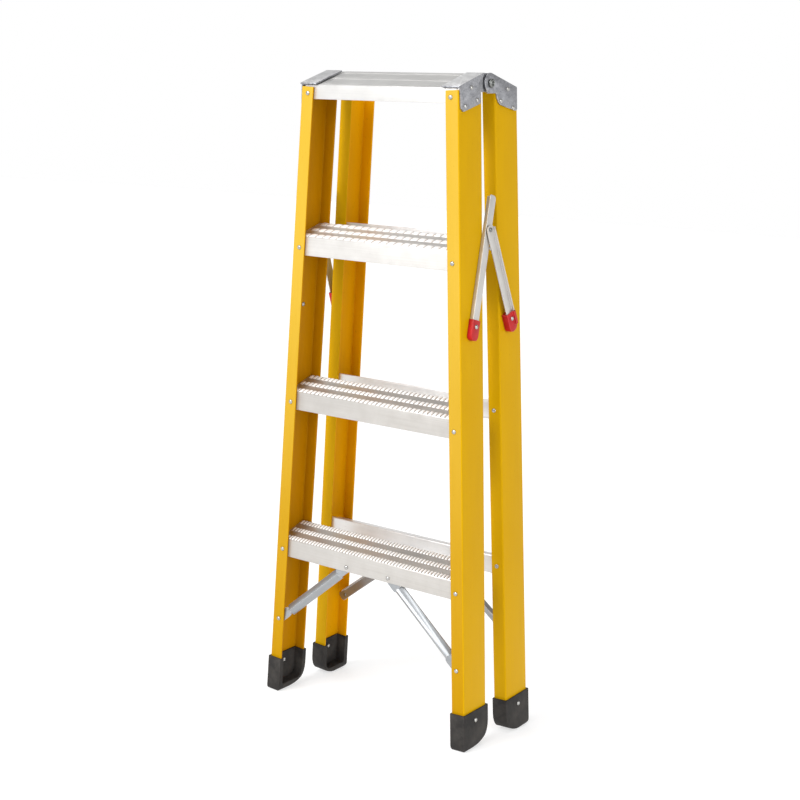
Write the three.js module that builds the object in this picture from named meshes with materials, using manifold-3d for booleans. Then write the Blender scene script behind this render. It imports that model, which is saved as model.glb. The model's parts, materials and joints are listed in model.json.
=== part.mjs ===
// Platform step ladder: two fibreglass frames hinged together at the top, standing folded nearly shut.
// Millimetres, +Z up, steps on the -Y side. The origin is on the floor, in the middle of the footprint.
import * as THREE from 'three';
import { mergeVertices } from 'three/addons/utils/BufferGeometryUtils.js';
import Module from 'manifold-3d';

const wasm = await Module();
wasm.setup();

// ---- driving dimensions -------------------------------------------------------------------------
const GAP = 0.3; // clearance between pieces that touch

const RAIL_DEPTH = 74; // web of the rail channel, front to back
const RAIL_FLANGE = 27; // flange of the rail channel
const RAIL_WALL = 4;
const RAIL_CORNER = 3;
const RAIL_BOTTOM = 30; // rail end above the sole, clear of the boot's rounded heel
const RAIL_TOP = 1200;
const HALF_AT_FLOOR = 239.2; // outer web face of a rail from the centre plane, at sole height
const FLARE = Math.atan(0.054); // each rail leans in by this angle

const STEP_RISE = 300; // rivet to rivet along the rail
const CROSSBAR_RISE = 302.5;
const CROSSBAR_DROP = 7.5; // the first crossbar sits lower by this much
const STEP_TILT = THREE.MathUtils.degToRad(18); // steps are level when the ladder stands open
const SHEET = 1.9; // wall of the aluminium extrusions
const SKIRT_TOP = 21; // step front edge above its rivet
const SKIRT_BOTTOM = -15; // step skirt's lower edge below its rivet
const RIB_WIDTH = 12;
const TOOTH_PITCH = 8;
const TOOTH_HEIGHT = 1.8;
const TOOTH_DRAFT = 0.04;

const PLATFORM_FRONT = 1201; // front top edge of the platform
const PLATFORM_SKIRT = 26;
const PLATFORM_BACK = 86; // the platform's rear edge, from the front face of the front frame
const PLATFORM_RIVET = 1185.5;

const HINGE_Y = 98.8; // hinge axis, from the front face of the front frame
const HINGE_Z = 1211.6;
const HINGE_PLATE = 2.7;
const HINGE_PLAY = 0.9; // between the two plates of a hinge
const HINGE_LOBE = 17;
const DISH_RIM = 27.5; // the front plate is pressed in around the hinge, starting at this radius
const DISH_SLOPE = 6.5; // width of the pressed wall
const PIN_RADIUS = 5;
const TOP_FLANGE = 37; // width of the hinge plate's top flange

const REAR_OFFSET = 115.9; // from the front frame's front face to the rear frame's, at the top
const REAR_ANGLE = THREE.MathUtils.degToRad(1.33); // the frames part by this angle when folded
const REAR_EXTRA = 15.5; // rear rails reach lower by this much
const REAR_SPREAD = 1.5; // and stand wider apart at the floor by this much on each side

const BOOT_HEIGHT = 70;
const BOOT_WALL = 2.5;
const BOOT_END_WALL = 3.5;
const BOOT_LIP = 1.6; // rubber past the flange's edge
const BOOT_LINER = 3;
const BOOT_FLOOR = 13;
const SOLE = -1.3; // lowest point of the sole in the frame's own coordinates
const ROCKER_Y = 15; // where that point is
const ROCKER = 110; // radius of the curved sole
const BOOT_NOSE = { front: 4, rear: 9 }; // radius at the foot of the upright wall
const BOOT_HEEL = 11.5; // the sole turns up into the rear wall over this length
const BOOT_EDGE = { inner: 10, outer: 7 }; // radii of the sole's long edges
const POCKET_CORNER = { nose: 4, heel: 14 }; // radii of the pocket's lower corners

const BRACE_FACE = 19;
const BRACE_LEG = 13;
const BRACE_WALL = 2;
const FRONT_FOLD = { start: 28, end: 31, ridge: 2.6, edge: 6, half: 11, wall: 2.5 };

const ARM_WALL = 1.8;
const LONG_ARM = 175.3; // front pivot to middle pivot
const SHORT_ARM = 178.7; // rear pivot to middle pivot
const LONG_TAIL = 62; // finger end of the long arm past the middle pivot
const LONG_WIDTH = 18;
const LONG_LEG = 7;
const SHORT_WIDTH = 20;
const SHORT_LEG = 4.5;
const LONG_FACE = 8; // outer face of the long arm from the rail's web
const SHORT_FACE = 11.4; // the same for the short arm, which lies outside the long one
const FRONT_PIVOT = { y: 35.5, z: 787 }; // in the front frame
const REAR_PIVOT = { y: 23.5, z: 790 }; // in the rear frame

const RIVET_RADIUS = 4.2;
const RIVET_HEIGHT = 2.4;

// ---- materials ----------------------------------------------------------------------------------
const material = (color, roughness, metalness) =>
  new THREE.MeshStandardMaterial({ color, roughness, metalness });

const fibreglass = material(0xe8b41e, 0.42, 0);
const aluminium = material(0xd6d7d8, 0.38, 0.9);
const galvanised = material(0xa3a6a8, 0.45, 0.85);
const steel = material(0xb9bbbd, 0.3, 0.95);
const rubber = material(0x34322f, 0.8, 0);
const redPlastic = material(0xc4242c, 0.4, 0);

// ---- geometry helpers ---------------------------------------------------------------------------
function flipWinding(geometry) {
  const index = geometry.index;
  for (let i = 0; i < index.count; i += 3) {
    const swap = index.getX(i + 1);
    index.setX(i + 1, index.getX(i + 2));
    index.setX(i + 2, swap);
  }
  return geometry;
}

function welded(geometry) {
  const bare = geometry.clone();
  bare.deleteAttribute('normal');
  bare.deleteAttribute('uv');
  return mergeVertices(bare, 1e-4);
}

function toSolid(geometry) {
  const closed = welded(geometry);
  return new wasm.Manifold(new wasm.Mesh({
    numProp: 3,
    vertProperties: new Float32Array(closed.attributes.position.array),
    triVerts: new Uint32Array(closed.index.array),
  }));
}

function toGeometry(solid) {
  const mesh = solid.getMesh();
  const geometry = new THREE.BufferGeometry();
  geometry.setAttribute('position', new THREE.BufferAttribute(new Float32Array(mesh.vertProperties), 3));
  geometry.setIndex(new THREE.BufferAttribute(new Uint32Array(mesh.triVerts), 1));
  geometry.computeVertexNormals();
  return geometry;
}

const join = (first, ...others) => others.reduce((sum, other) => sum.add(other), first);
const cut = (first, ...others) => others.reduce((rest, other) => rest.subtract(other), first);

function outline(points) {
  const shape = new THREE.Shape();
  points.forEach(([a, b], i) => (i === 0 ? shape.moveTo(a, b) : shape.lineTo(a, b)));
  shape.closePath();
  return shape;
}

// Points on an arc, with angles in degrees.
function arcPoints(a, b, radius, from, to, steps) {
  const points = [];
  for (let k = 0; k <= steps; k += 1) {
    const angle = THREE.MathUtils.degToRad(from + ((to - from) * k) / steps);
    points.push([a + radius * Math.cos(angle), b + radius * Math.sin(angle)]);
  }
  return points;
}

// Closed outline with a radius at each corner: corners are [a, b, radius].
function roundedOutline(corners, segments = 4) {
  const points = [];
  corners.forEach(([a, b, radius = 0], i) => {
    const corner = new THREE.Vector2(a, b);
    if (radius === 0) {
      points.push([a, b]);
      return;
    }
    const [pa, pb] = corners[(i + corners.length - 1) % corners.length];
    const [na, nb] = corners[(i + 1) % corners.length];
    const before = new THREE.Vector2(pa - a, pb - b).normalize();
    const after = new THREE.Vector2(na - a, nb - b).normalize();
    const half = Math.acos(THREE.MathUtils.clamp(before.dot(after), -1, 1)) / 2;
    const reach = radius / Math.tan(half);
    const start = corner.clone().addScaledVector(before, reach);
    const end = corner.clone().addScaledVector(after, reach);
    const bisector = before.clone().add(after).normalize();
    const centre = corner.clone().addScaledVector(bisector, radius / Math.sin(half));
    const from = Math.atan2(start.y - centre.y, start.x - centre.x);
    let sweep = Math.atan2(end.y - centre.y, end.x - centre.x) - from;
    if (sweep > Math.PI) sweep -= 2 * Math.PI;
    if (sweep < -Math.PI) sweep += 2 * Math.PI;
    for (let k = 0; k <= segments; k += 1) {
      const angle = from + (sweep * k) / segments;
      points.push([centre.x + radius * Math.cos(angle), centre.y + radius * Math.sin(angle)]);
    }
  });
  return outline(points);
}

const extrude = (shape, depth) => new THREE.ExtrudeGeometry(shape, { depth, bevelEnabled: false, steps: 1 });

// Outline in (y, z), pushed from x0 to x1.
function alongX(shape, x0, x1) {
  const basis = new THREE.Matrix4().set(0, 0, 1, x0, 1, 0, 0, 0, 0, 1, 0, 0, 0, 0, 0, 1);
  return extrude(shape, x1 - x0).applyMatrix4(basis);
}

// Outline in (x, z), pushed from y0 to y1.
function alongY(shape, y0, y1) {
  const basis = new THREE.Matrix4().set(1, 0, 0, 0, 0, 0, -1, y1, 0, 1, 0, 0, 0, 0, 0, 1);
  return extrude(shape, y1 - y0).applyMatrix4(basis);
}

// Outline in (x, y), pushed from z0 to z1.
function alongZ(shape, z0, z1) {
  return extrude(shape, z1 - z0).translate(0, 0, z0);
}

function block(x0, x1, y0, y1, z0, z1) {
  const box = new THREE.BoxGeometry(x1 - x0, y1 - y0, z1 - z0);
  return box.translate((x0 + x1) / 2, (y0 + y1) / 2, (z0 + z1) / 2);
}

function mesh(name, geometry, look) {
  const result = new THREE.Mesh(geometry, look);
  result.name = name;
  return result;
}

// Pieces on a rail are drawn for the right side, with +x pointing out of the web, and mirrored for the left.
function sided(geometry, side) {
  if (side > 0) return geometry;
  const mirrored = welded(geometry).scale(-1, 1, 1);
  flipWinding(mirrored);
  mirrored.computeVertexNormals();
  return mirrored;
}

// Domed rivet head on a face: seat at the origin, dome along +Z.
function rivetHead(radius = RIVET_RADIUS, height = RIVET_HEIGHT) {
  const rim = height * 0.3;
  const profile = [
    [0, 0], [radius, 0], [radius, rim], [radius * 0.8, height * 0.78], [radius * 0.42, height], [0, height],
  ];
  const points = profile.map(([r, z]) => new THREE.Vector2(r, z));
  return new THREE.LatheGeometry(points, 14).rotateX(Math.PI / 2);
}

const facingFront = (geometry) => geometry.rotateX(Math.PI / 2);
const facingOut = (geometry) => geometry.rotateY(Math.PI / 2);

const halfWidth = (z) => HALF_AT_FLOOR - Math.tan(FLARE) * z;
const sideName = (side) => (side > 0 ? 'right' : 'left');

// ---- rails and boots ----------------------------------------------------------------------------
function railSection(grow = 0) {
  const inner = RAIL_WALL + grow;
  const lip = -RAIL_FLANGE - grow;
  return roundedOutline([
    [grow, -grow, RAIL_CORNER],
    [grow, RAIL_DEPTH + grow, RAIL_CORNER],
    [lip, RAIL_DEPTH + grow],
    [lip, RAIL_DEPTH - inner],
    [-inner, RAIL_DEPTH - inner, 2],
    [-inner, inner, 2],
    [lip, inner],
    [lip, -grow],
  ]);
}

function rail(side, extra) {
  return sided(alongZ(railSection(), RAIL_BOTTOM - extra, RAIL_TOP), side);
}

// Side outline of a boot: upright nose, curved sole, rounded heel.
function bootOutline(noseRadius) {
  const noseY = -BOOT_END_WALL;
  const heelY = RAIL_DEPTH + BOOT_END_WALL;
  const sole = (y) => SOLE + ROCKER - Math.sqrt(ROCKER ** 2 - (y - ROCKER_Y) ** 2);
  const soleStart = noseY + noseRadius;
  const soleEnd = heelY - BOOT_HEEL;
  const nose = arcPoints(soleStart, sole(soleStart) + noseRadius, noseRadius, 180, 270, 4);
  const rocker = [];
  for (let k = 1; k <= 7; k += 1) {
    const y = soleStart + ((soleEnd - soleStart) * k) / 7;
    rocker.push([y, sole(y)]);
  }
  const heel = new THREE.QuadraticBezierCurve(
    new THREE.Vector2(soleEnd, sole(soleEnd)),
    new THREE.Vector2(heelY - 1, sole(soleEnd) + BOOT_HEEL * 0.7),
    new THREE.Vector2(heelY, sole(soleEnd) + BOOT_HEEL * 2.4),
  );
  const heelPoints = heel.getPoints(4).slice(1).map((point) => [point.x, point.y]);
  return outline([[noseY, BOOT_HEIGHT], ...nose, ...rocker, ...heelPoints, [heelY, BOOT_HEIGHT]]);
}

function boot(side, noseRadius) {
  const inside = -RAIL_FLANGE - BOOT_LIP;
  const shell = toSolid(alongX(bootOutline(noseRadius), inside, BOOT_WALL));
  const frontView = roundedOutline([
    [BOOT_WALL, SOLE - 1, BOOT_EDGE.outer],
    [BOOT_WALL, BOOT_HEIGHT + 1],
    [inside, BOOT_HEIGHT + 1],
    [inside, SOLE - 1, BOOT_EDGE.inner],
  ]);
  const trimmed = shell.intersect(toSolid(alongY(frontView, -50, 150)));
  const slot = toSolid(alongZ(railSection(GAP), RAIL_BOTTOM - GAP, BOOT_HEIGHT + 10));
  const liner = RAIL_WALL + BOOT_LINER;
  const pocket = roundedOutline([
    [liner, BOOT_HEIGHT + 10],
    [liner, BOOT_FLOOR, POCKET_CORNER.nose],
    [RAIL_DEPTH - liner, BOOT_FLOOR, POCKET_CORNER.heel],
    [RAIL_DEPTH - liner, BOOT_HEIGHT + 10],
  ]);
  const hollow = toSolid(alongX(pocket, inside - 10, -liner));
  return sided(toGeometry(cut(trimmed, slot, hollow)), side);
}

// ---- steps, platform and crossbars --------------------------------------------------------------
const SKIRT_FRONT = RAIL_WALL + GAP;
const SKIRT_BACK = RAIL_DEPTH - RAIL_WALL - GAP;

// Channel section with a sloping top and upright skirts, in (y, z).
function treadSection(front, back, frontTop, frontBottom, backBottom) {
  const rise = Math.tan(STEP_TILT) * (back - front);
  const slope = Math.tan(STEP_TILT) * SHEET;
  const drop = SHEET / Math.cos(STEP_TILT);
  return roundedOutline([
    [front, frontBottom],
    [front + SHEET, frontBottom],
    [front + SHEET, frontTop + slope - drop],
    [back - SHEET, frontTop + rise - slope - drop],
    [back - SHEET, backBottom],
    [back, backBottom],
    [back, frontTop + rise, 1.2],
    [front, frontTop, 1.2],
  ], 2);
}

// Serrated rib: teeth along x with a draft on their ends, laid on the sloping top.
function serratedRib(halfLength, centre, front, frontTop) {
  const count = Math.floor((2 * halfLength - 4) / TOOTH_PITCH);
  const start = (-count * TOOTH_PITCH) / 2;
  const points = [[start, -0.8], [-start, -0.8]];
  for (let k = count; k >= 1; k -= 1) {
    points.push([start + k * TOOTH_PITCH, 0.25]);
    points.push([start + (k - 0.5) * TOOTH_PITCH, TOOTH_HEIGHT]);
  }
  points.push([start, 0.25]);
  const rib = alongY(outline(points), -RIB_WIDTH / 2, RIB_WIDTH / 2);
  const corners = rib.attributes.position;
  for (let i = 0; i < corners.count; i += 1) {
    corners.setY(i, corners.getY(i) * (1 - TOOTH_DRAFT * corners.getZ(i)));
  }
  rib.rotateX(STEP_TILT);
  rib.translate(0, centre, frontTop + Math.tan(STEP_TILT) * (centre - front));
  return toSolid(rib);
}

function tread(halfLength, ribHalf, front, back, frontTop, frontBottom, backBottom) {
  const section = treadSection(front, back, frontTop, frontBottom, backBottom);
  const body = toSolid(alongX(section, -halfLength, halfLength));
  const edge = RIB_WIDTH / 2 + 0.6;
  const centres = [front + edge, (front + back) / 2, back - edge];
  const ribs = centres.map((y) => serratedRib(ribHalf, y, front, frontTop));
  return toGeometry(join(body, ...ribs));
}

const channelHalf = (top) => halfWidth(top) - RAIL_WALL - 1.5;
const INNER_SKIRT_RISE = Math.tan(STEP_TILT) * (SKIRT_BACK - SKIRT_FRONT);

function step(rivetZ) {
  const half = channelHalf(rivetZ + SKIRT_TOP + INNER_SKIRT_RISE);
  const backBottom = SKIRT_BOTTOM + INNER_SKIRT_RISE;
  const level = tread(half, half - 1, SKIRT_FRONT, SKIRT_BACK, SKIRT_TOP, SKIRT_BOTTOM, backBottom);
  return level.translate(0, 0, rivetZ);
}

function platform() {
  const rise = Math.tan(STEP_TILT) * (SKIRT_BACK - SKIRT_FRONT);
  const ribHalf = halfWidth(PLATFORM_FRONT) - TOP_FLANGE;
  return tread(channelHalf(RAIL_TOP), ribHalf, SKIRT_FRONT, PLATFORM_BACK, PLATFORM_FRONT,
    PLATFORM_FRONT - PLATFORM_SKIRT, PLATFORM_FRONT + rise - 18);
}

// A crossbar is the same channel as a step without ribs, turned end for end.
function crossbar(rivetZ) {
  const half = channelHalf(rivetZ + SKIRT_TOP + INNER_SKIRT_RISE);
  const backBottom = SKIRT_BOTTOM + INNER_SKIRT_RISE;
  const section = treadSection(SKIRT_FRONT, SKIRT_BACK, SKIRT_TOP, SKIRT_BOTTOM, backBottom);
  const bar = alongX(section, -half, half).rotateZ(Math.PI);
  return bar.translate(0, RAIL_DEPTH, rivetZ);
}

// ---- knee braces --------------------------------------------------------------------------------
// Flat strip with round ends, along x.
function braceStrip(from, to) {
  const half = BRACE_FACE / 2;
  const face = roundedOutline([[from, -half, 7], [to, -half, 5], [to, half, 5], [from, half, 7]], 3);
  return toSolid(alongY(face, 0, BRACE_WALL));
}

// Flat strip with a leg along its upper edge.
function rearAngle(length) {
  const top = BRACE_FACE / 2;
  const leg = block(24, length - 12, BRACE_WALL / 2, BRACE_LEG, top - BRACE_WALL, top);
  return join(braceStrip(-8, length + 8), toSolid(leg));
}

// Angle whose corner points to the front, flattened to a tab at both ends.
function frontAngle(length) {
  const { start, end, ridge, edge, half, wall } = FRONT_FOLD;
  const section = outline([
    [-ridge, 0], [edge, half], [edge + wall, half], [wall - ridge, 0], [edge + wall, -half], [edge, -half],
  ]);
  const fold = alongX(section, start, length - end);
  const tabs = [braceStrip(-8, start + 2), braceStrip(length - end - 2, length + 8)];
  return join(toSolid(fold), ...tabs);
}

// Brace from the step's skirt down to the rail's flange: shape has its length along x.
function brace(side, upper, lower, shape) {
  const angle = shape(upper.distanceTo(lower));
  const along = lower.clone().sub(upper).normalize();
  const across = new THREE.Vector3(0, 1, 0).cross(along).negate();
  if (across.z < 0) across.negate();
  across.normalize();
  const depth = across.clone().cross(along).normalize();
  const basis = new THREE.Matrix4().makeBasis(along, depth, across).setPosition(upper);
  return sided(toGeometry(angle).applyMatrix4(basis), side);
}

const SKIRT_INSIDE = SKIRT_FRONT + SHEET + GAP;
const FLANGE_INSIDE = RAIL_WALL + GAP;
const FRONT_BRACE = {
  upper: new THREE.Vector3(50, SKIRT_INSIDE, 294),
  lower: new THREE.Vector3(215.5, FLANGE_INSIDE, 153),
};
const REAR_BRACE = {
  upper: new THREE.Vector3(30, SKIRT_INSIDE, 290),
  lower: new THREE.Vector3(216, FLANGE_INSIDE, 144),
};

// ---- hinge plates -------------------------------------------------------------------------------
const alongRail = (z) => z / Math.cos(FLARE);

function rearPointInFront(y, z) {
  const turned = new THREE.Vector2(y, z - RAIL_TOP).rotateAround(new THREE.Vector2(), REAR_ANGLE);
  return { y: REAR_OFFSET + turned.x, z: RAIL_TOP + turned.y };
}

function frontPointInRear(y, z) {
  const offset = new THREE.Vector2(y - REAR_OFFSET, z - RAIL_TOP);
  const turned = offset.rotateAround(new THREE.Vector2(), -REAR_ANGLE);
  return { y: turned.x, z: RAIL_TOP + turned.y };
}

const PLATE_TOP_FRONT = { y: 3, s: alongRail(1205.4) };

// Cylinder along the hinge axis, which is square to the ladder and not to the leaning rail.
function hingeCylinder(radius, from, to, segments = 24) {
  const cylinder = new THREE.CylinderGeometry(radius, radius, to - from, segments);
  return cylinder.rotateZ(-Math.PI / 2).translate((from + to) / 2, 0, 0).rotateY(FLARE);
}

// Shallow dish around the hinge, in which the rear plate's lobe turns level with the front plate's face.
function hingeDish() {
  const face = GAP + HINGE_PLATE;
  const sunk = GAP - HINGE_PLAY;
  const back = sunk - HINGE_PLATE;
  const floorRadius = DISH_RIM - DISH_SLOPE;
  const profile = [
    [0, back], [floorRadius - 1.2, back], [DISH_RIM - 1.2, GAP], [DISH_RIM + 0.5, GAP],
    [DISH_RIM + 0.5, face], [DISH_RIM, face], [floorRadius, sunk], [0, sunk],
  ].map(([radius, x]) => new THREE.Vector2(radius, x));
  return new THREE.LatheGeometry(profile, 48).rotateZ(-Math.PI / 2);
}

function frontHingePlate(side) {
  const hingeS = alongRail(HINGE_Z);
  const slope = Math.tan(STEP_TILT);
  const topAt = (y) => PLATE_TOP_FRONT.s + slope * (y - PLATE_TOP_FRONT.y);
  const plate = outline([
    [5, alongRail(1166)],
    ...arcPoints(13, alongRail(1166.5), 5, 200, 290, 4),
    [66, alongRail(1176)],
    [67, alongRail(1195)],
    [81, alongRail(1197)],
    ...arcPoints(HINGE_Y, hingeS, HINGE_LOBE, 255, 440, 12),
    [84, topAt(75)],
    [75, topAt(75)],
    [PLATE_TOP_FRONT.y, topAt(PLATE_TOP_FRONT.y)],
  ]);
  const flat = toSolid(alongX(plate, GAP, GAP + HINGE_PLATE));
  const opening = new THREE.CylinderGeometry(DISH_RIM, DISH_RIM, 20, 48).rotateZ(-Math.PI / 2);
  const dish = toSolid(hingeDish().translate(0, HINGE_Y, hingeS));
  const lobe = dish.intersect(toSolid(alongX(plate, -10, 10)));
  const sheet = join(cut(flat, toSolid(opening.translate(0, HINGE_Y, hingeS))), lobe);
  const thickness = HINGE_PLATE / Math.cos(STEP_TILT);
  const lip = -0.5;
  const back = 75;
  const top = outline([
    [lip, topAt(lip) - PLATE_TOP_FRONT.s - thickness],
    [back, topAt(back) - PLATE_TOP_FRONT.s - thickness],
    [back, topAt(back) - PLATE_TOP_FRONT.s],
    [lip, topAt(lip) - PLATE_TOP_FRONT.s],
  ]);
  const level = alongX(top, -TOP_FLANGE, 0).rotateY(FLARE);
  const flange = toSolid(level.translate(GAP + HINGE_PLATE, 0, PLATE_TOP_FRONT.s));
  const bore = toSolid(hingeCylinder(PIN_RADIUS + GAP, -20, 20).translate(0, HINGE_Y, hingeS));
  return sided(toGeometry(cut(join(sheet, flange), bore)), side);
}

// Flat rear plate, with a lobe around the hinge. Its outline is drawn around the hinge axis.
function rearHingePlate(side) {
  const topAt = (y) => 18.6 - Math.tan(STEP_TILT) * 0.91 * y;
  const plate = outline([
    [18.5, -17.6],
    [20, -26],
    [24.5, -34.5],
    [31, -38],
    ...arcPoints(81, -44, 5, 250, 355, 4),
    [86.4, topAt(86.4)],
    [5, topAt(5)],
    ...arcPoints(0, 0, HINGE_LOBE + 1, 85, 225, 12),
    [-9, -17.6],
  ]);
  const sheet = toSolid(alongX(plate, GAP, GAP + HINGE_PLATE));
  const bore = toSolid(hingeCylinder(PIN_RADIUS + GAP, -20, 20));
  const geometry = toGeometry(cut(sheet, bore));
  const hinge = frontPointInRear(HINGE_Y, HINGE_Z);
  return sided(geometry.translate(0, hinge.y, alongRail(hinge.z)), side);
}

// Hollow rivet that both plates of a hinge turn on.
function hingePin(side) {
  const outer = GAP + HINGE_PLATE + 0.8;
  const inner = GAP - HINGE_PLAY - HINGE_PLATE - 0.8;
  const profile = [
    [0, inner - 2.8], [8.5, inner - 2.8], [8.5, inner], [PIN_RADIUS, inner], [PIN_RADIUS, outer],
    [7.6, outer], [7.6, outer + 3], [6.4, outer + 4.2], [4.2, outer + 4.2], [3.6, outer + 2], [0, outer + 2],
  ].map(([radius, x]) => new THREE.Vector2(radius, x));
  const pin = new THREE.LatheGeometry(profile, 24).rotateZ(-Math.PI / 2);
  pin.rotateY(FLARE);
  return sided(pin.translate(0, HINGE_Y, alongRail(HINGE_Z)), side);
}

// ---- spreader arms ------------------------------------------------------------------------------
// Arms are drawn in the web's plane with their pivot at the origin and their length along +z.
function longArm() {
  const half = LONG_WIDTH / 2;
  const faceShape = roundedOutline([
    [-half, -12, 3], [half, -12, 3], [half, LONG_ARM + LONG_TAIL, 6], [-half, LONG_ARM + LONG_TAIL, 2],
  ], 3);
  const face = alongX(faceShape, LONG_FACE - ARM_WALL, LONG_FACE);
  const legTop = LONG_ARM + LONG_TAIL - 3;
  const leg = block(LONG_FACE - LONG_LEG, LONG_FACE - ARM_WALL / 2, -half, -half + ARM_WALL, -10, legTop);
  return join(toSolid(face), toSolid(leg));
}

function shortArm() {
  const half = SHORT_WIDTH / 2;
  const faceShape = roundedOutline([
    [-half, -12, 3], [half, -12, 3], [half, SHORT_ARM + 6, 3], [-half, SHORT_ARM + 9, 8],
  ], 3);
  const face = alongX(faceShape, SHORT_FACE - ARM_WALL, SHORT_FACE);
  const legTop = SHORT_ARM + 2;
  const leg = block(SHORT_FACE - ARM_WALL / 2, SHORT_FACE + SHORT_LEG, half - ARM_WALL, half, -10, legTop);
  return join(toSolid(face), toSolid(leg));
}

// Plastic cap: a block with rounded lower end, slotted for the arm's end.
function armCap(width, outer, arm, ridge) {
  const half = width / 2;
  const shape = roundedOutline([
    [-half, -25, 9], [half, -25, 9], [half, 12], [-half, 12],
  ], 4);
  const body = toSolid(alongX(shape, 0.5, outer));
  return cut(ridge ? join(body, ridge) : body, arm);
}

function longCap() {
  const half = LONG_WIDTH / 2;
  const faceFoot = LONG_FACE - ARM_WALL - GAP;
  const face = toSolid(block(faceFoot, LONG_FACE + GAP, -half - GAP, half + GAP, -13, 40));
  const legFoot = LONG_FACE - LONG_LEG - GAP;
  const leg = toSolid(block(legFoot, LONG_FACE, -half - GAP, -half + ARM_WALL + GAP, -11, 40));
  return armCap(LONG_WIDTH + 4.4, LONG_FACE + 2.2, join(face, leg));
}

function shortCap() {
  const half = SHORT_WIDTH / 2;
  const faceFoot = SHORT_FACE - ARM_WALL - GAP;
  const face = toSolid(block(faceFoot, SHORT_FACE + GAP, -half - GAP, half + GAP, -13, 40));
  const legTop = SHORT_FACE + SHORT_LEG;
  const leg = toSolid(block(SHORT_FACE, legTop + GAP, half - ARM_WALL - GAP, half + GAP, -11, 40));
  const ridge = toSolid(block(SHORT_FACE, legTop + 1, half - ARM_WALL - 2.2, half + 2.2, -15, 12));
  return armCap(SHORT_WIDTH + 4.4, SHORT_FACE + 1.9, join(face, leg), ridge);
}

// ---- assembly -----------------------------------------------------------------------------------
function railSide(side, spread = 0) {
  const group = new THREE.Group();
  group.position.x = side * (HALF_AT_FLOOR + spread);
  group.rotation.y = -side * (FLARE + spread / RAIL_TOP);
  return group;
}

// Rotation, about the web's normal, that points an arm's +z along (dy, ds).
const armTurn = (dy, ds) => Math.atan2(-dy, ds);

const front = new THREE.Group();
const rear = new THREE.Group();
rear.position.set(0, REAR_OFFSET, RAIL_TOP);
rear.rotation.x = REAR_ANGLE;
const rearFrame = new THREE.Group();
rearFrame.position.z = -RAIL_TOP;
rear.add(rearFrame);

const FLANGE_RIVET_INSET = 15.6;
const stepLevels = [1, 2, 3].map((n) => n * STEP_RISE);
const crossbarLevels = [1, 2, 3].map((n) => n * CROSSBAR_RISE - CROSSBAR_DROP);

// Middle pivot of the folded spreader, in the rails' plane.
function middlePivot() {
  const a = { y: FRONT_PIVOT.y, s: alongRail(FRONT_PIVOT.z) };
  const inFront = rearPointInFront(REAR_PIVOT.y, REAR_PIVOT.z);
  const b = { y: inFront.y, s: alongRail(inFront.z) };
  const span = Math.hypot(b.y - a.y, b.s - a.s);
  const along = (LONG_ARM ** 2 + span ** 2 - SHORT_ARM ** 2) / (2 * span);
  const height = Math.sqrt(LONG_ARM ** 2 - along ** 2);
  const uy = (b.y - a.y) / span;
  const us = (b.s - a.s) / span;
  return { a, b, y: a.y + along * uy - height * us, s: a.s + along * us + height * uy };
}

const MIDDLE = middlePivot();

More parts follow.
